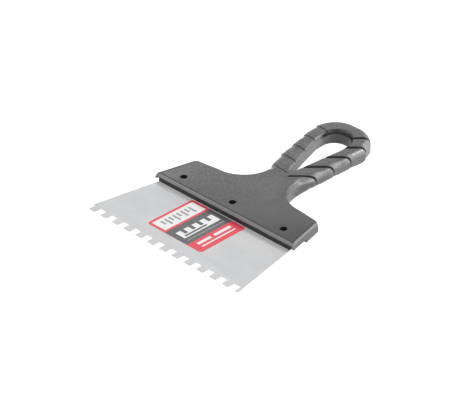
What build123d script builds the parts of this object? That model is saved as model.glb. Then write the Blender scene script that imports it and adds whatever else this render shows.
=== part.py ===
from build123d import *
import os

# Notched trowel, in millimetres. While it is modelled, X runs along the notched edge, Y runs from the
# blade to the handle, Z is up, and the zero point is on the blade's top face at the middle of the head's
# front edge. place() then moves everything so that the zero point is under the middle of the tool.

# ---- blade: one sheet of spring steel
blade_width = 200.0          # across the notched edge
blade_neck_width = 172.6     # across the blade where it enters the head
blade_reach = 80.0           # notched edge to the head
blade_tuck = 22.0            # length held inside the head
blade_gauge = 0.8
blade_heel_radius = 3.0      # hidden rear corners
notch_width = 8.0
tooth_width = 8.0
notch_depth = 8.0
notch_root_radius = 0.5

# ---- label stuck on the blade
label_width = 71.0
label_length = 58.0
label_gauge = 0.15
label_radius = 3.0
label_offset = -3.3          # its middle from the blade's middle line
label_gap = 0.8              # bare steel between label and head

# ---- head of the handle: a shell over the blade's heel
head_overhang = 5.2          # the walls' lower rim stands this far outside the blade, at the front
head_side_rake = 0.22        # how fast each side closes in, mm per mm of depth
head_depth = 46.2            # front edge to the rear corners
head_back_rise = 3.4         # how much further back the rear edge lies at the neck's arcs
head_corner_radius = 6.5
head_top = 7.9
head_draft = 1.6             # the top edge lies this far inside the lower rim
head_rim = 2.2               # height of the walls' lower rim, and of the seam with the jaw
head_wall = 2.3
head_edge_radius = 1.3       # rounding of the top edge
head_edge_stop = 8.0         # it ends this far short of the neck's end

# ---- neck, between head and loop
neck_width = 39.0
neck_arc_radius = 32.3
neck_arc_reach = 33.0        # the head's rear edge ends this far outside the neck
neck_end = 84.0              # where the loop takes over
belly_start_depth = 3.2      # underside of the neck below the blade's top, at the head
belly_depth = 10.2           # and where it is deepest
belly_low = 70.0             # how far back that is
belly_end = 100.0            # where the belly runs out into the loop
belly_end_height = 0.0
belly_round = 3.6            # rounding of its lower edges
belly_inset = 0.4            # its walls stand this far inside the neck's

# ---- loop grip
loop_run_in = 70.0           # how far its body reaches forward into the neck
loop_end = 189.0             # rear end of the tool
loop_front_top = 8.6         # heights of its flat faces where the neck ends
loop_front_bottom = -4.6
loop_rear_top = 23.0         # and at its rear end
loop_rear_bottom = 2.8
leg_start = 98.0             # where the flare of the neck becomes the legs
leg_start_width = 54.9
leg_end = 160.0
leg_end_width = 69.8
loop_end_radius = 30.0
leg_flare_radius = 22.0
loop_arch = 1.6              # how far its underside is arched up, midway
loop_top_round = 7.5         # rounding of its outer edges, above
loop_low_round = 5.0         # and below
loop_inner_round = 4.5
hole_start = 88.0            # front tip of the finger opening
hole_tip_radius = 2.0
hole_width = 31.0
hole_shoulder = 148.0        # where the opening reaches its full width
hole_shoulder_radius = 26.0
hole_end = 171.5
hole_end_radius = 13.0

# ---- scales of the grip, parted by grooves
groove_depth = 2.2
scale_step = 1.1             # a scale's low end lies this far below the grip's full size
scale_crest = 0.3            # and its high end is aimed this far above, so that its crest is smooth
scale_count = 4              # on each leg
groove_meeting = 5.0         # the first grooves of the two legs meet this far right of the middle line
right_groove_width = 2.3
right_groove_start = 80.4
right_groove_pitch = 19.6
right_groove_slope = 0.75
left_groove_width = 1.5
left_groove_start = 87.8
left_groove_pitch = 18.3
left_groove_slope = -0.1

# ---- clamping parts
strip_height = 4.4           # packing strip between blade and shell
strip_setback = 0.4
jaw_thickness = 1.6          # lower jaw, under the blade
jaw_front_inset = 4.0        # its tongue ends this far behind the head's front edge
jaw_side_inset = 9.0         # and this far inside the blade's sides
jaw_round = 1.3              # rounding of its lower edges
seam_chamfer = 0.6           # and chamfer of its upper ones, where it meets the shell
heel_gap = 0.3               # behind the blade's heel
screw_side_inset = 18.4      # outer screws from the blade's sides
screw_line = 13.8            # behind the head's front edge
screw_diameter = 3.6
screw_clearance = 0.3
screw_head_diameter = 6.8    # countersunk flush into the lower jaw
screw_slot = 0.9             # width of the two crossed slots in a screw's head
screw_slot_length = 4.1
screw_slot_depth = 0.9
boss_diameter = 11.0
bore_diameter = 7.0
bore_floor = 2.2             # height of the bores' floors
fit = 0.05                   # radial gap of the screw in its boss, and of the strip round a boss

margin = 1.0                 # how far a cutter or a joined shape runs past a face
tolerance = 1e-3             # for picking corners and edges by their place

blade_rake = (blade_width - blade_neck_width) / 2 / blade_reach
head_width = blade_neck_width + 2 * head_overhang
jaw_bottom = -blade_gauge - jaw_thickness


def blade_half_width(y):
    return blade_neck_width / 2 - blade_rake * y


def head_half_width(y):
    return head_width / 2 - head_side_rake * y


screw_spacing = blade_half_width(screw_line) - screw_side_inset
screw_places = [(x, screw_line) for x in (-screw_spacing, 0, screw_spacing)]


def plate(outline, low, high):
    """A flat solid with this outline, from one height to another."""
    return extrude(Pos(0, 0, low) * outline, high - low)


def symmetric_outline(right_side):
    """The closed outline whose right side is this list of points, from front to rear."""
    left_side = [(-x, y) for x, y in reversed(right_side) if x > 0]
    return make_face(Polyline(*right_side, *left_side, close=True))


def corners_at(face, x, y):
    """The corners of a flat face at this place, on both sides of the middle line."""
    return [v for v in face.vertices()
            if abs(abs(v.X) - x) < tolerance and abs(v.Y - y) < tolerance]


def drilled(solid, diameter, low, high):
    """The solid with the three screw holes of this diameter."""
    for x, y in screw_places:
        solid -= Pos(x, y, (low + high) / 2) * Cylinder(diameter / 2, high - low)
    return solid


# ---- blade
def make_blade():
    front = -blade_reach
    heel = blade_tuck
    sheet = symmetric_outline([(blade_half_width(front), front), (blade_half_width(heel), heel)])
    corners = [v for v in sheet.vertices() if v.Y > 0]
    sheet = fillet(corners, blade_heel_radius)
    pitch = notch_width + tooth_width
    notch = RectangleRounded(notch_width, 2 * notch_depth, notch_root_radius)
    for k in range(int(blade_width / pitch) + 1):
        sheet -= Pos(-blade_width / 2 + k * pitch, front) * notch
    steel = plate(sheet, -blade_gauge, 0)
    return drilled(steel, screw_diameter + 2 * screw_clearance, -blade_gauge - margin, margin)


def make_label():
    middle = -label_gap - label_length / 2
    sheet = Pos(label_offset, middle) * RectangleRounded(label_width, label_length, label_radius)
    return plate(sheet, 0, label_gauge)


# ---- head
def head_outline():
    """Plan of the head and neck at the lower rim."""
    back = head_depth + head_back_rise
    face = symmetric_outline([
        (head_half_width(0), 0),
        (head_half_width(head_depth), head_depth),
        (neck_width / 2 + neck_arc_reach, back),
        (neck_width / 2, back),
        (neck_width / 2, neck_end),
    ])
    corners = [v for v in face.vertices() if abs(v.Y - head_depth) < tolerance]
    face = fillet(corners, head_corner_radius)
    return fillet(corners_at(face, neck_width / 2, back), neck_arc_radius)


def band(y_from, y_to):
    """A wide rectangle between two places along the tool, for trimming outlines."""
    return Pos(0, (y_from + y_to) / 2) * Rectangle(2 * head_width, y_to - y_from)


def head_shell():
    rim = head_outline()
    shell = loft([Pos(0, 0, head_rim) * rim, Pos(0, 0, head_top) * offset(rim, -head_draft)], ruled=True)
    top = shell.faces().sort_by(Axis.Z)[-1]
    shell = fillet([e for e in top.edges() if e.center().Y < neck_end - head_edge_stop], head_edge_radius)
    pocket_back = blade_tuck + heel_gap
    pocket = symmetric_outline([
        (head_half_width(-margin) - head_wall, -margin),
        (head_half_width(pocket_back) - head_wall, pocket_back),
    ])
    shell -= plate(pocket, -margin, strip_height)
    for x, y in screw_places:
        shell += Pos(x, y, strip_height / 2) * Cylinder(boss_diameter / 2, strip_height)
    shell = drilled(shell, screw_diameter + 2 * fit, -margin, head_top + margin)
    return drilled(shell, bore_diameter, bore_floor, head_top + margin)


# ---- loop
def loop_height(y, front, rear):
    """Height at y of a line from the neck's end to the loop's end."""
    return front + (rear - front) * (y - neck_end) / (loop_end - neck_end)


def underside(y):
    """Height at y of the grip's arched underside, on the middle line."""
    share = (y - neck_end) / (loop_end - neck_end)
    return loop_height(y, loop_front_bottom, loop_rear_bottom) + 4 * loop_arch * share * (1 - share)


def leg_half_width(y):
    """Outer side of a leg, from the middle line."""
    share = (y - leg_start) / (leg_end - leg_start)
    return (leg_start_width + (leg_end_width - leg_start_width) * share) / 2


def loop_outline():
    """Plan of the grip, with a stretch of the neck in front of it."""
    outer = symmetric_outline([
        (neck_width / 2, loop_run_in), (neck_width / 2, neck_end), (leg_start_width / 2, leg_start),
        (leg_half_width(loop_end), loop_end)])
    outer = fillet(corners_at(outer, leg_half_width(loop_end), loop_end), loop_end_radius)
    outer = fillet(corners_at(outer, neck_width / 2, neck_end), leg_flare_radius)
    return fillet(corners_at(outer, leg_start_width / 2, leg_start), leg_flare_radius)


def loop_body(inset):
    """The grip without its opening, cut from its side view, all of it this far inside its full size."""
    outer = offset(loop_outline(), -inset) if inset else loop_outline()
    start, end = loop_run_in + inset, loop_end - inset
    middle = (start + end) / 2
    crown = 2 * underside(middle) - (underside(start) + underside(end)) / 2
    low = Bezier((start, underside(start) + inset), (middle, crown + inset), (end, underside(end) + inset))
    rest = Polyline(low @ 1, (end, loop_height(end, loop_front_top, loop_rear_top) - inset),
                    (start, loop_height(start, loop_front_top, loop_rear_top) - inset), low @ 0)
    slab = extrude(Plane.YZ * make_face(low + rest), loop_end, both=True)
    grip = slab & plate(outer, -loop_end, loop_end)
    rims = [e for e in grip.edges() if abs(e.tangent_at(0.5).Z) < 0.5 and e.center().Y > start + margin]
    top = [e for e in rims if e.center().Z > underside(e.center().Y) + loop_low_round]
    grip = fillet(top, loop_top_round - inset)
    rims = [e for e in grip.edges() if abs(e.tangent_at(0.5).Z) < 0.5 and e.center().Y > start + margin]
    low = [e for e in rims if e.center().Z < underside(e.center().Y) + inset + margin]
    return fillet(low, loop_low_round - inset)


def finger_hole():
    inner = symmetric_outline([
        (0, hole_start), (hole_width / 2, hole_shoulder), (hole_width / 2, hole_end)])
    inner = fillet(corners_at(inner, hole_width / 2, hole_end), hole_end_radius)
    inner = fillet(corners_at(inner, hole_width / 2, hole_shoulder), hole_shoulder_radius)
    inner = fillet(corners_at(inner, 0, hole_start), hole_tip_radius)
    return plate(inner, -loop_end, loop_end)


def ringed(grip):
    """The grip with its finger opening, whose rims are rounded."""
    grip = grip - finger_hole()
    rims = [e for e in grip.edges() if abs(e.center().X) < hole_width / 2 + margin
            and hole_start - margin < e.center().Y < hole_end + margin and abs(e.tangent_at(0.5).Z) < 0.5]
    return fillet(rims, loop_inner_round)


def belly():
    """The deep rounded underside of the neck, behind the lower jaw."""
    front = head_depth + head_back_rise + heel_gap
    plan = offset(head_outline() + loop_outline(), -belly_inset) & band(front, belly_end)
    top = head_rim + margin
    curve = ThreePointArc((front, -belly_start_depth), (belly_low, -belly_depth),
                          (belly_end, belly_end_height))
    side = curve + Polyline((belly_end, belly_end_height), (belly_end, top), (front, top),
                            (front, -belly_start_depth))
    body = extrude(Plane.YZ * make_face(side), head_width, both=True)
    body = body & plate(plan, -2 * belly_depth, head_top)
    low = [e for e in body.edges() if e.center().Z < -belly_start_depth
           and e.center().Y > front + margin]
    return fillet(low, belly_round)


# ---- scales and grooves of the grip
class Leg:
    """How the grooves lie on one leg. The flank's high ends are the rear ones on the right leg only."""
    def __init__(self, side, width, start, pitch, slope):
        self.side, self.start, self.pitch, self.slope = side, start, pitch, slope
        self.stretch = (1 + slope ** 2) ** 0.5
        self.gap = width * self.stretch


legs = [
    Leg(1, right_groove_width, right_groove_start, right_groove_pitch, right_groove_slope),
    Leg(-1, left_groove_width, left_groove_start, left_groove_pitch, left_groove_slope),
]


def scale_section(leg, start, top_inset, flank_inset):
    """Upright section of a leg along a groove's direction, this far inside its full size."""
    far = leg.side * leg_end_width
    line = Line((0, start), (far, start + leg.slope * far))
    ends = (offset(loop_outline(), -flank_inset) & line).vertices()
    outer = max(leg.side * v.X for v in ends) * leg.side
    top, low = [], []
    for x in (0, outer):
        y = start + leg.slope * x
        top.append((x * leg.stretch, loop_height(y, loop_front_top, loop_rear_top) - top_inset))
        low.append((x * leg.stretch, underside(y) + flank_inset))
    face = make_face(Polyline(low[0], low[1], top[1], top[0], close=True))
    for height, radius in ((top[1][1], loop_top_round), (low[1][1], loop_low_round)):
        corner = [v for v in face.vertices()
                  if abs(v.X - outer * leg.stretch) < tolerance and abs(v.Y - height) < tolerance]
        face = fillet(corner, radius - scale_step)
    return Plane((0, start, 0), x_dir=(1, leg.slope, 0), z_dir=(leg.slope, -1, 0)) * face


def scale(leg, number):
    """One scale between two grooves. Its top slopes down to the rear, and its flank swells to one end."""
    front = leg.start + number * leg.pitch + leg.gap / 2
    rear = front + leg.pitch - leg.gap
    flank = (scale_step, -scale_crest) if leg.side > 0 else (-scale_crest, scale_step)
    return loft([scale_section(leg, front, -scale_crest, flank[0]),
                 scale_section(leg, rear, scale_step, flank[1])], ruled=True)


def smooth_ends(leg):
    """Plans of the two parts of the grip on this side that no scale covers."""
    near, far = groove_meeting, leg.side * leg_end_width
    ends = []
    for start, limit in ((leg.start - leg.gap / 2, -loop_end),
                         (leg.start + scale_count * leg.pitch + leg.gap / 2, 2 * loop_end)):
        ends.append(make_face(Polyline(
            (near, limit), (near, start + leg.slope * near),
            (far, start + leg.slope * far), (far, limit), close=True)))
    return ends


def scaled(grip):
    """The grip with scales and grooves cut into both legs, down to a core just under its skin."""
    kept = loop_body(groove_depth)
    for leg in legs:
        for end in smooth_ends(leg):
            kept += plate(end, -loop_end, loop_end)
        for number in range(scale_count):
            kept += scale(leg, number)
    return grip & kept


def make_handle():
    grip = scaled(ringed(loop_body(0)))
    return head_shell() + (belly() + grip)


def countersink(gap):
    """The cone of a screw head, grown by this gap, standing on the jaw's underside."""
    low = screw_head_diameter / 2 + gap
    high = screw_diameter / 2 + gap
    return Pos(0, 0, jaw_bottom + (low - high) / 2) * Cone(low, high, low - high)


def make_lower_jaw():
    seat = blade_tuck + heel_gap
    rear = head_depth + head_back_rise
    wide = plate(head_outline() & band(seat, rear), jaw_bottom, head_rim)
    front = jaw_front_inset
    tongue = symmetric_outline([
        (blade_half_width(front) - jaw_side_inset, front),
        (blade_half_width(seat) - jaw_side_inset, seat + margin)])
    tongue = fillet([v for v in tongue.vertices() if v.Y < seat], blade_heel_radius)
    wide = chamfer([e for e in wide.faces().sort_by(Axis.Z)[-1].edges() if e.center().Y > seat + tolerance],
                   seam_chamfer)
    jaw = wide + plate(tongue, jaw_bottom, -blade_gauge)
    jaw = fillet([e for e in jaw.faces().sort_by(Axis.Z)[0].edges() if e.center().Y < rear - tolerance],
                 jaw_round)
    for x, y in screw_places:
        jaw -= Pos(x, y, 0) * countersink(fit)
    return drilled(jaw, screw_diameter + 2 * screw_clearance, jaw_bottom - margin, head_rim)


def make_packing_strip():
    strip = symmetric_outline([
        (blade_half_width(strip_setback), strip_setback),
        (blade_half_width(blade_tuck), blade_tuck)])
    bar = plate(strip, 0, strip_height)
    return drilled(bar, boss_diameter + 2 * fit, -margin, strip_height + margin)


def make_screw():
    tip = bore_floor - screw_clearance
    screw = Pos(0, 0, (jaw_bottom + tip) / 2) * Cylinder(screw_diameter / 2, tip - jaw_bottom)
    screw += countersink(0)
    for turn in (0, 90):
        screw -= Pos(0, 0, jaw_bottom) * Rot(Z=turn) * Box(
            screw_slot_length, screw_slot, 2 * screw_slot_depth)
    return screw


def make_clamp_screws():
    return [Pos(x, y, 0) * make_screw() for x, y in screw_places]


parts = {
    "blade": make_blade(),
    "label": make_label(),
    "handle": make_handle(),
    "packing_strip": make_packing_strip(),
    "lower_jaw": make_lower_jaw(),
    "clamp_screws": Compound(children=make_clamp_screws()),
}

boxes = [shape.bounding_box() for shape in parts.values()]
middle_x = (min(box.min.X for box in boxes) + max(box.max.X for box in boxes)) / 2
middle_y = (min(box.min.Y for box in boxes) + max(box.max.Y for box in boxes)) / 2
place = Pos(-middle_x, -middle_y, -min(box.min.Z for box in boxes))

os.makedirs("parts", exist_ok=True)
for name, shape in parts.items():
    export_step(place * shape, f"parts/{name}.step")
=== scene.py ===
# Notched trowel: a steel adhesive spreader held in a moulded plastic handle with a loop grip.
import bpy
import math
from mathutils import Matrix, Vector


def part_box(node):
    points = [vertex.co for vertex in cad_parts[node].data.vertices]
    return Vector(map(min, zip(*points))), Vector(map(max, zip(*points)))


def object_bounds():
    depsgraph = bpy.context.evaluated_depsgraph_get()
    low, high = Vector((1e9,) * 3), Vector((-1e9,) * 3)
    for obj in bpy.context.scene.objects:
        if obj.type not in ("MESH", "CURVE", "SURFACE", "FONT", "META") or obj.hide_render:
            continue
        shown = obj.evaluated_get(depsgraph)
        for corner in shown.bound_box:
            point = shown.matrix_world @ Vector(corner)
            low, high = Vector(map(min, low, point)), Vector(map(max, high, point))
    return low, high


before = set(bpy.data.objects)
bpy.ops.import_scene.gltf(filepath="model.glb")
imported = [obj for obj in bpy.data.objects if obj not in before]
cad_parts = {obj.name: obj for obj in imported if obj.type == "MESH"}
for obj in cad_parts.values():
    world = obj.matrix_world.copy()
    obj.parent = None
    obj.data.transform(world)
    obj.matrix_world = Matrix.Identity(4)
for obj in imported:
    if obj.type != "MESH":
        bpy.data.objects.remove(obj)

cad_low, cad_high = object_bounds()


# ---- Blade -------------------------------------------------------------------------------------
# One sheet of hardened spring steel, roll-finished, with square notches punched in its front edge.
# Its grain runs across the tool, and it carries the faint cloudiness and hairlines of rolled strip.
blade_low, blade_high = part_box("blade")
blade_reach = 0.080
blade_half_width = 0.100
blade_top = blade_high.z
head_front = blade_low.y + blade_reach
middle_x = blade_high.x - blade_half_width
head_corner = (middle_x, head_front, blade_top)

steel_dull = (0.565, 0.570, 0.578)
steel_clear = (0.635, 0.638, 0.645)
steel_line = (0.49, 0.493, 0.50)
# A pale tone painted as light on the stretch of steel before the head.
pale_painted_steel = (0.84, 0.845, 0.85)
painted_light_depth = 0.012
painted_light_share = 0.75


def finish_of(name, colour, roughness, metallic=0.0, specular=0.5):
    """A new material with its plain values set on the shader itself. Gives the material and its shader."""
    material = bpy.data.materials.new(name)
    material.use_nodes = True
    shader = material.node_tree.nodes["Principled BSDF"]
    shader.inputs["Base Color"].default_value = (*colour, 1)
    shader.inputs["Roughness"].default_value = roughness
    shader.inputs["Metallic"].default_value = metallic
    shader.inputs["Specular IOR Level"].default_value = specular
    return material, shader


def node(owner, kind, **values):
    """A new node in a material or world. Inputs are set by name, and other settings as attributes."""
    made = owner.node_tree.nodes.new("ShaderNode" + kind)
    for key, value in values.items():
        if key in made.inputs:
            made.inputs[key].default_value = value
        else:
            setattr(made, key, value)
    return made


def link(owner, output, socket):
    owner.node_tree.links.new(output, socket)


def place_on(material, stretch=(1, 1, 1), middle=(0, 0, 0)):
    """Object coordinates, measured from a point and stretched along the three axes."""
    where = node(material, "TexCoord")
    turn = node(material, "Mapping", vector_type="POINT")
    turn.inputs["Scale"].default_value = stretch
    turn.inputs["Location"].default_value = [-m * s for m, s in zip(middle, stretch)]
    link(material, where.outputs["Object"], turn.inputs["Vector"])
    return turn.outputs["Vector"]


def parts_of(material, vector):
    """The three parts of a vector, each as a value."""
    split = node(material, "SeparateXYZ")
    link(material, vector, split.inputs[0])
    return split.outputs


def cloud(material, scale, detail=3.0, rough=0.5, **place):
    """Noise of this many cells to the metre, stretched and centred as place_on does it."""
    made = node(material, "TexNoise", Scale=scale, Detail=detail, Roughness=rough)
    link(material, place_on(material, **place), made.inputs["Vector"])
    return made.outputs["Fac"]


def spread(owner, value, low, high, new_low, new_high):
    """Maps one range of a value onto another, and holds it at the ends."""
    made = node(owner, "MapRange")
    for key, number in zip(("From Min", "From Max", "To Min", "To Max"), (low, high, new_low, new_high)):
        made.inputs[key].default_value = number
    link(owner, value, made.inputs["Value"])
    return made.outputs["Result"]


def blend_colours(material, share, first, second):
    """first where share is 0 and second where it is 1. Each is a colour or a socket."""
    made = node(material, "Mix", data_type="RGBA")
    link(material, share, made.inputs["Factor"])
    for socket, colour in ((made.inputs[6], first), (made.inputs[7], second)):
        if isinstance(colour, tuple):
            socket.default_value = (*colour, 1)
        else:
            link(material, colour, socket)
    return made.outputs[2]


def relief(material, shader, height, distance, strength=1.0):
    """Bump of this height in metres on the shader."""
    made = node(material, "Bump", Distance=distance, Strength=strength)
    link(material, height, made.inputs["Height"])
    link(material, made.outputs["Normal"], shader.inputs["Normal"])


def dress(name, material):
    """Gives a CAD node its finish."""
    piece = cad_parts[name]
    piece.data.materials.clear()
    piece.data.materials.append(material)


steel, shader = finish_of("rolled_spring_steel", (0.59, 0.592, 0.597), 0.40, metallic=0.6)
grain = cloud(steel, 5200, detail=4, stretch=(0.03, 1, 1))
patches = cloud(steel, 38, detail=4, rough=0.6, stretch=(0.5, 1, 1))
hairlines = cloud(steel, 1400, detail=2, stretch=(0.012, 1, 1), middle=(0.3, 0, 0))
tone = blend_colours(steel, spread(steel, patches, 0.35, 0.68, 0, 1), steel_dull, steel_clear)
tone = blend_colours(steel, spread(steel, hairlines, 0.60, 0.72, 0, 0.35), tone, steel_line)

# The last stretch before the head is painted pale and made less metallic: painted light over the shade and
# dark reflection that the head throws on the steel.
rearward = parts_of(steel, place_on(steel, middle=head_corner))[1]
near_head = spread(steel, rearward, -painted_light_depth, 0, 0, painted_light_share)
tone = blend_colours(steel, near_head, tone, pale_painted_steel)
link(steel, tone, shader.inputs["Base Color"])
link(steel, spread(steel, near_head, 0, painted_light_share, 0.6, 0.3), shader.inputs["Metallic"])
link(steel, spread(steel, grain, 0.3, 0.7, 0.30, 0.42), shader.inputs["Roughness"])
relief(steel, shader, grain, 0.000006)
dress("blade", steel)


# ---- Label -------------------------------------------------------------------------------------
# A printed film sticker, laminated and slightly glossy, stuck flat on the steel in front of the
# handle. Its print is plain panels and marks: a row of ticks, a comb of square teeth and a few stripes.
label_low, label_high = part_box("label")
label_middle = (label_low + label_high) / 2
print_red = (0.77, 0.045, 0.075)
print_charcoal = (0.06, 0.06, 0.066)
print_white = (0.86, 0.86, 0.86)
print_grey = (0.30, 0.30, 0.31)
paper_grey = (0.4, 0.38, 0.38)

# The print's sizes are in millimetres from the label's middle. A rectangle gives its two ends across
# the blade and then its two ends along the tool.
film_side = 35.5
film_end = 29
charcoal_from = -11.5
charcoal_to = 17.5
red_line_from = -14.2
white_panel = (-32.4, charcoal_from, -26, 26)
tick_count = 8
tick_pitch = 5
tick_width = 2.4
first_tick = -19.5
tick_foot = -28.5
short_tick = 7
long_tick = 11
tooth_count = 5
tooth_pitch = 10
tooth_width = 6
tooth_tip = -4
comb_front = 3
comb_half_length = 23
comb_body = (comb_front, 8.5, -comb_half_length, comb_half_length)
comb_slot = (4.5, 6.8, -20, 8)
thin_rule = (12, 13.2, -comb_half_length, comb_half_length)
stripe_half_length = 21
short_stripe = (21.5, 25, -stripe_half_length, -4)
middle_stripe = (21.5, 25, 0, stripe_half_length)
long_stripe = (28.2, 30, -stripe_half_length, stripe_half_length)

film, shader = finish_of("printed_film", print_white, 0.38)
shader.inputs["Coat Weight"].default_value = 0.35
shader.inputs["Coat Roughness"].default_value = 0.22
across, along, _ = parts_of(film, place_on(film, middle=label_middle))


def reckon(owner, operation, *values):
    """A Math node on one or two values, each a number or a socket."""
    made = node(owner, "Math", operation=operation)
    for socket, value in zip(made.inputs, values):
        if isinstance(value, (int, float)):
            socket.default_value = value
        else:
            link(owner, value, socket)
    return made.outputs[0]


def product(owner, first, *others):
    """The product of two or more values or shares."""
    for other in others:
        first = reckon(owner, "MULTIPLY", first, other)
    return first


def panel(x_from, x_to, y_from, y_to):
    """1 inside this rectangle of the print and 0 outside it."""
    return product(
        film,
        reckon(film, "GREATER_THAN", across, x_from / 1000),
        reckon(film, "LESS_THAN", across, x_to / 1000),
        reckon(film, "GREATER_THAN", along, y_from / 1000),
        reckon(film, "LESS_THAN", along, y_to / 1000),
    )


ink = blend_colours(film, panel(*white_panel), print_red, print_white)
charcoal_panel = panel(charcoal_from, charcoal_to, -film_end, film_end)
ink = blend_colours(film, charcoal_panel, ink, print_charcoal)
ink = blend_colours(film, panel(charcoal_to, film_side, -film_end, film_end), ink, print_red)
ink = blend_colours(film, panel(red_line_from, charcoal_from, -film_end, film_end), ink, print_red)
for tick in range(tick_count):
    tip = tick_foot + (long_tick if tick % 2 else short_tick)
    start = first_tick + tick_pitch * tick
    ink = blend_colours(film, panel(tick_foot, tip, start, start + tick_width), ink, print_grey)
ink = blend_colours(film, panel(*comb_body), ink, print_white)
for tooth in range(tooth_count):
    start = -comb_half_length + tooth_pitch * tooth
    ink = blend_colours(film, panel(tooth_tip, comb_front, start, start + tooth_width), ink, print_white)
ink = blend_colours(film, panel(*comb_slot), ink, print_charcoal)
ink = blend_colours(film, panel(*thin_rule), ink, print_grey)
for stripe in (short_stripe, middle_stripe, long_stripe):
    ink = blend_colours(film, panel(*stripe), ink, print_white)

# Fine white specks are scattered over the charcoal, and the paper's fibre shows through the film.
specks = spread(film, cloud(film, 1500, detail=2), 0.52, 0.62, 0, 0.13)
ink = blend_colours(film, product(film, charcoal_panel, specks), ink, print_white)
ink = blend_colours(film, spread(film, cloud(film, 900, detail=2), 0.35, 0.75, 0, 0.06), ink, paper_grey)
link(film, ink, shader.inputs["Base Color"])
relief(film, shader, cloud(film, 260, detail=1), 0.00003)
dress("label", film)


# ---- Handle ------------------------------------------------------------------------------------
# The upper moulding: head shell, neck and loop grip in one piece of dark grey filled polypropylene.
# The mould was spark-eroded, so the faces are finely matt, and handling has polished the edges.
handle_low, handle_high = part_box("handle")
handle_half_width = (handle_high.x - handle_low.x) / 2
head_depth = 0.050
grip_start = 0.058
grip_full = 0.082
mould_dark = (0.088, 0.089, 0.091)
mould_light = (0.208, 0.209, 0.212)
swirl_grey = (0.23, 0.23, 0.234)
# A darker grey painted as shade across the head's top.
painted_shade_grey = (0.035, 0.036, 0.038)

plastic, shader = finish_of("moulded_plastic", (0.115, 0.115, 0.12), 0.5)
sideways, rearward, upward = parts_of(plastic, place_on(plastic, middle=head_corner))
facing = node(plastic, "TexCoord")
facing_right, _, facing_up = parts_of(plastic, facing.outputs["Normal"])
on_grip = spread(plastic, rearward, grip_start, grip_full, 0, 1)
on_left_leg = product(plastic, on_grip, spread(plastic, sideways, -0.002, 0.002, 1, 0))


def total(owner, first, second):
    """The sum of two values."""
    return reckon(owner, "ADD", first, second)


def less(owner, first, second):
    """The first value less the second."""
    return reckon(owner, "SUBTRACT", first, second)


def larger(owner, first, second):
    """The larger of two values."""
    return reckon(owner, "MAXIMUM", first, second)


def within(owner, value, low, high, soft):
    """1 where the value lies between low and high, fading over a soft width inside each end."""
    rise = spread(owner, value, low, low + soft, 0, 1)
    fall = spread(owner, value, high - soft, high, 1, 0)
    return product(owner, rise, fall)


def plan_distance(owner, first, second):
    """Length of the straight line with these two legs."""
    squares = total(owner, product(owner, first, first), product(owner, second, second))
    return reckon(owner, "SQRT", squares)


def edge_mask(material, radius, low, high):
    """1 along the solid's edges and 0 on its faces, from how a rounded normal leaves the real one."""
    rounded = node(material, "Bevel", samples=6, Radius=radius)
    real = node(material, "NewGeometry")
    likeness = node(material, "VectorMath", operation="DOT_PRODUCT")
    link(material, rounded.outputs["Normal"], likeness.inputs[0])
    link(material, real.outputs["Normal"], likeness.inputs[1])
    return spread(material, likeness.outputs["Value"], low, high, 1, 0)


# The filler mottles the plastic, most on the left leg, and flow in the mould leaves broad pale swirls.
mottle = cloud(plastic, 330, detail=4, rough=0.7)
mottle_strength = total(plastic, spread(plastic, on_grip, 0, 1, 1, 0.5), product(plastic, on_left_leg, 0.9))
mottle_share = product(plastic, spread(plastic, mottle, 0.36, 0.66, -0.5, 0.5), mottle_strength)
tone = blend_colours(plastic, total(plastic, mottle_share, 0.5), mould_dark, mould_light)
swirl = cloud(plastic, 26, detail=3, stretch=(1, 0.45, 1))
tone = blend_colours(plastic, spread(plastic, swirl, 0.44, 0.60, 0, 0.65), tone, swirl_grey)

# Its top is painted darker towards the front and the right, most on faces that look up: painted shade.
painted_shade_share = total(
    plastic,
    spread(plastic, rearward, 0, head_depth, 0.35, 0),
    spread(plastic, sideways, -0.09, 0.09, 0, 1),
)
painted_shade_share = product(
    plastic,
    painted_shade_share,
    spread(plastic, on_grip, 0, 1, 0.72, 0.95),
    spread(plastic, facing_up, 0.3, 0.8, 0.45, 1),
)
tone = blend_colours(plastic, painted_shade_share, tone, painted_shade_grey)

# Along the front and side edges of the head's top, a pale band painted as highlight marks the lip, and a
# black line just inside it is painted shade marking a shallow groove.
# Each is held to its own height above the blade, so that the walls below stay plain.
lip_width = 0.0021
lip_soft = 0.0004
channel_width = 0.0018
side_lip_from = 0.0009
side_lip_to = 0.0031
side_channel_from = 0.0029
side_taper = 0.011
# A pale grey painted as highlight on the lip, and a black painted as shade just inside it.
lip_highlight_grey = (0.29, 0.292, 0.296)
channel_shade_black = (0.022, 0.022, 0.024)
side_line = spread(plastic, rearward, 0, head_depth, handle_half_width, handle_half_width - side_taper)
from_side = less(plastic, side_line, reckon(plastic, "ABSOLUTE", sideways))
front_lip_highlight = product(
    plastic,
    within(plastic, rearward, -0.001, lip_width, lip_soft),
    spread(plastic, upward, 0.0040, 0.0062, 0.25, 1),
)
side_lip_highlight = product(
    plastic,
    within(plastic, from_side, side_lip_from, side_lip_to, lip_soft),
    spread(plastic, upward, 0.0060, 0.0066, 0, 1),
)
front_channel_shade = within(plastic, rearward, lip_width, lip_width + channel_width, lip_soft)
side_channel_shade = within(plastic, from_side, side_channel_from, side_channel_from + channel_width, lip_soft)
channel_shade = product(
    plastic,
    larger(plastic, front_channel_shade, side_channel_shade),
    spread(plastic, upward, 0.0072, 0.0076, 0, 1),
    spread(plastic, rearward, 0.036, 0.044, 1, 0),
)
tone = blend_colours(plastic, product(plastic, larger(plastic, front_lip_highlight, side_lip_highlight), 0.75), tone, lip_highlight_grey)
tone = blend_colours(plastic, product(plastic, channel_shade, 0.95), tone, channel_shade_black)
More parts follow.
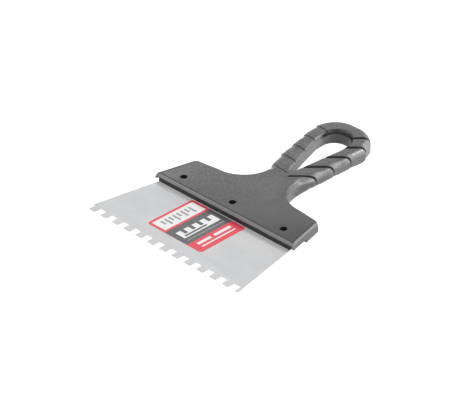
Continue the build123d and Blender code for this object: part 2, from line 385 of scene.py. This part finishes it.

# Knocks have scuffed its edges. The palm has smoothed the shoulders of the loop's two legs, and a pale band
# is painted along them as a highlight.
scuffed_grey = (0.30, 0.30, 0.305)
# A pale grey painted as highlight along the shoulders of the loop's legs.
shoulder_highlight_grey = (0.40, 0.402, 0.41)
scuffs = product(
    plastic,
    edge_mask(plastic, 0.0009, 0.90, 0.995),
    spread(plastic, cloud(plastic, 420, detail=4), 0.40, 0.62, 0, 0.55),
)
outward = product(plastic, facing_right, spread(plastic, sideways, -0.001, 0.001, -1, 1))
shoulder = product(plastic, total(plastic, outward, facing_up), math.sqrt(0.5))
polish_and_highlight = product(
    plastic,
    spread(plastic, shoulder, 0.76, 0.96, 0, 1),
    on_grip,
    spread(plastic, cloud(plastic, 130, detail=3), 0.3, 0.6, 0.3, 1),
)
tone = blend_colours(plastic, scuffs, tone, scuffed_grey)
tone = blend_colours(plastic, product(plastic, polish_and_highlight, 0.75), tone, shoulder_highlight_grey)

# The left leg's grooves and inner wall are painted paler as painted light against their shade, and all
# other hollows are painted dark as painted shade.
# The three screw holes are painted black as painted shade, with a thin ring round each of them.
# A pale grey painted as light, and a black painted as shade.
painted_light_grey = (0.26, 0.26, 0.26)
painted_shade_black = (0.005, 0.005, 0.005)
screw_head_radius = 0.0034
bore_radius = 0.0036
screws_low, screws_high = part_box("clamp_screws")
screw_spacing = (screws_high.x - screws_low.x) / 2 - screw_head_radius
screw_line = (screws_high.y + screws_low.y) / 2 - head_front
hollows = node(plastic, "AmbientOcclusion", samples=8, Distance=0.007, only_local=True)
in_hollow = spread(plastic, hollows.outputs["AO"], 0.35, 0.88, 1, 0)
groove_painted_light = product(plastic, in_hollow, on_left_leg, 0.6)
inner_wall_painted_light = product(plastic, spread(plastic, outward, -0.92, -0.55, 0.6, 0), on_left_leg)
hollow_shade = product(plastic, in_hollow, less(plastic, 1.0, on_left_leg))
from_half_way = less(plastic, reckon(plastic, "ABSOLUTE", sideways), screw_spacing / 2)
from_screw = less(plastic, screw_spacing / 2, reckon(plastic, "ABSOLUTE", from_half_way))
from_bore = plan_distance(plastic, from_screw, less(plastic, rearward, screw_line))
bore_shade = spread(plastic, from_bore, bore_radius, bore_radius + 0.0004, 1, 0)
tone = blend_colours(plastic, larger(plastic, groove_painted_light, inner_wall_painted_light), tone, painted_light_grey)
tone = blend_colours(plastic, larger(plastic, hollow_shade, bore_shade), tone, painted_shade_black)

# The loop's far wall is painted dark as painted shade, and a black band under its rim is painted shade that
# stands for an undercut.
loop_middle = 0.156
loop_front = 0.084
loop_rear = 0.189
loop_front_top = 0.0086
loop_rear_top = 0.0230
wall_radius = 0.0170
rim_radius = 0.0178
# A dark grey and a black, both painted as shade on the loop's far wall.
shaded_grey = (0.03, 0.03, 0.031)
recess_shade_black = (0.004, 0.004, 0.004)
far_end = spread(plastic, rearward, loop_middle - 0.004, loop_middle + 0.002, 0, 1)
from_loop_middle = plan_distance(plastic, sideways, less(plastic, rearward, loop_middle))
loop_top = spread(plastic, rearward, loop_front, loop_rear, loop_front_top, loop_rear_top)
below_top = less(plastic, upward, loop_top)
wall_shade = spread(plastic, from_loop_middle, wall_radius, wall_radius + 0.0006, 0.62, 0)
far_wall = product(plastic, wall_shade, far_end)
recess_shade = product(
    plastic,
    spread(plastic, from_loop_middle, rim_radius, rim_radius + 0.0009, 1, 0),
    within(plastic, below_top, -0.0058, 0.001, 0.0005),
    far_end,
)
tone = blend_colours(plastic, far_wall, tone, shaded_grey)
tone = blend_colours(plastic, recess_shade, tone, recess_shade_black)
link(plastic, tone, shader.inputs["Base Color"])

# The grip is smoother than the head, but its left leg is duller than its right one.
matt = less(plastic, spread(plastic, mottle, 0.3, 0.7, 0.50, 0.64), product(plastic, on_grip, 0.26))
matt = less(plastic, matt, product(plastic, polish_and_highlight, 0.06))
matt = total(plastic, matt, product(plastic, on_left_leg, 0.10))
link(plastic, matt, shader.inputs["Roughness"])
grit = cloud(plastic, 2300, detail=2, rough=0.6)
relief(plastic, shader, product(plastic, grit, spread(plastic, on_grip, 0, 1, 1, 0.3)), 0.00010, 0.7)
dress("handle", plastic)


# ---- Lower jaw ---------------------------------------------------------------------------------
# A flat plate of the same plastic, from its own mould. It closes the head from below, and the three
# screws draw it up under the blade.
dress("lower_jaw", plastic)


# ---- Packing strip -----------------------------------------------------------------------------
# A near-black bar of softer plastic between the blade and the shell's roof, cut round the screw bosses.
# Part of its darkness is painted shade from the head's lip above it. It is moulded with a dull, slightly
# uneven skin.
# Near-black tones, partly the plastic's own and partly painted shade.
strip_black = (0.014, 0.014, 0.015)
strip_pale = (0.035, 0.035, 0.037)
soft_plastic, shader = finish_of("packing_plastic", (0.022, 0.022, 0.024), 0.7, specular=0.3)
mottle = cloud(soft_plastic, 350, detail=4)
tone = blend_colours(soft_plastic, spread(soft_plastic, mottle, 0.3, 0.7, 0, 1), strip_black, strip_pale)
link(soft_plastic, tone, shader.inputs["Base Color"])
relief(soft_plastic, shader, mottle, 0.00008)
dress("packing_strip", soft_plastic)


# ---- Clamp screws ------------------------------------------------------------------------------
# Three countersunk cross-slot screws of blackened steel, driven up from below into the bosses.
# The blacking has rubbed off along their edges.
screw_black = (0.030, 0.030, 0.032)
screw_bloom = (0.085, 0.082, 0.080)
bare_steel = (0.33, 0.33, 0.33)
black_steel, shader = finish_of("blackened_steel", (0.05, 0.05, 0.052), 0.42, metallic=0.6)
bloom = cloud(black_steel, 700, detail=3)
tone = blend_colours(black_steel, spread(black_steel, bloom, 0.35, 0.65, 0, 1), screw_black, screw_bloom)
rubbed = product(black_steel, edge_mask(black_steel, 0.0003, 0.90, 0.995), 0.5)
tone = blend_colours(black_steel, rubbed, tone, bare_steel)
link(black_steel, tone, shader.inputs["Base Color"])
link(black_steel, spread(black_steel, bloom, 0.3, 0.7, 0.34, 0.52), shader.inputs["Roughness"])
relief(black_steel, shader, cloud(black_steel, 2600, detail=2), 0.00002)
dress("clamp_screws", black_steel)


# ---- Table and surround ------------------------------------------------------------------------
# A plain white table that keeps the tool's soft shadow, under an even white surround.
# Both look white to the eye and in reflections, and give the tool less light than that.
table_size = 6.0
table_gap = 0.0002
table_glow = 0.82
surround_level = 0.28
bpy.ops.object.select_all(action="DESELECT")
bpy.ops.mesh.primitive_plane_add(size=table_size, location=(0, 0, cad_low.z - table_gap))
floor = bpy.context.object
floor.name = "table_top"


def seen_directly(owner):
    """1 on rays that come from the eye, a reflection or a clear body, and 0 on the rest."""
    rays = node(owner, "LightPath")
    seen = reckon(owner, "MAXIMUM", rays.outputs["Is Camera Ray"], rays.outputs["Is Glossy Ray"])
    return reckon(owner, "MAXIMUM", seen, rays.outputs["Is Transmission Ray"])


white = bpy.data.materials.new("white_table")
white.use_nodes = True
white.node_tree.nodes.clear()
flat_white = node(white, "BsdfDiffuse", Color=(0.62, 0.62, 0.62, 1))
glow = node(white, "Emission")
link(white, product(white, seen_directly(white), table_glow), glow.inputs["Strength"])
both = node(white, "AddShader")
link(white, flat_white.outputs[0], both.inputs[0])
link(white, glow.outputs[0], both.inputs[1])
out = node(white, "OutputMaterial")
link(white, both.outputs[0], out.inputs["Surface"])
floor.data.materials.append(white)

surround = bpy.data.worlds.new("white_surround")
bpy.context.scene.world = surround
surround.use_nodes = True
backdrop = surround.node_tree.nodes["Background"]
backdrop.inputs["Color"].default_value = (1, 1, 1, 1)
level = spread(surround, seen_directly(surround), 0, 1, surround_level, 1)
link(surround, level, backdrop.inputs["Strength"])


# ---- Lamps -------------------------------------------------------------------------------------
# Four square soft lamps round the tool. The small one behind its right side draws the highlights on
# the grip, and none stands where the blade would mirror it to the camera.
def way_to(azimuth, elevation):
    """The direction from the tool to a point round it, with azimuth 0 in front and 90 on its right."""
    a, e = math.radians(azimuth), math.radians(elevation)
    return Vector((math.sin(a) * math.cos(e), -math.cos(a) * math.cos(e), math.sin(e)))


def turn_to(thing, away):
    """Turns a lamp or camera so that it looks back along this direction."""
    thing.rotation_mode = "QUATERNION"
    thing.rotation_quaternion = away.to_track_quat("Z", "Y")


def soft_lamp(name, azimuth, elevation, distance, size, power):
    """A square softbox that faces the tool's middle from this direction."""
    lamp = bpy.data.lights.new(name, "AREA")
    lamp.size = size
    lamp.energy = power
    stand = bpy.data.objects.new(name, lamp)
    bpy.context.scene.collection.objects.link(stand)
    away = way_to(azimuth, elevation)
    stand.location = away * distance
    turn_to(stand, away)


soft_lamp("rear_right_lamp", azimuth=139, elevation=40, distance=1.5, size=0.45, power=11)
soft_lamp("side_lamp", azimuth=80, elevation=25, distance=1.5, size=0.8, power=11)
soft_lamp("front_lamp", azimuth=350, elevation=16, distance=1.5, size=0.9, power=3)
soft_lamp("left_lamp", azimuth=296, elevation=54, distance=0.62, size=0.35, power=1.0)


# ---- Camera ------------------------------------------------------------------------------------
# It looks down on the tool through a long lens, from in front of its right-hand corner, and aims at a
# point on the head behind the label.
camera_distance = 1.6190
aim = Vector((middle_x - 0.00366, head_front + 0.01445, blade_top))
back = way_to(44.9, 31.75)
lens = bpy.data.cameras.new("camera")
lens.sensor_width = 36.0
lens.lens = 134.94
lens.shift_x = 0.0009
lens.clip_start = 0.05
lens.clip_end = 50
camera = bpy.data.objects.new("camera", lens)
bpy.context.scene.collection.objects.link(camera)
camera.location = aim + back * camera_distance
turn_to(camera, back)
bpy.context.scene.camera = camera
bpy.context.scene.view_settings.view_transform = "Standard"
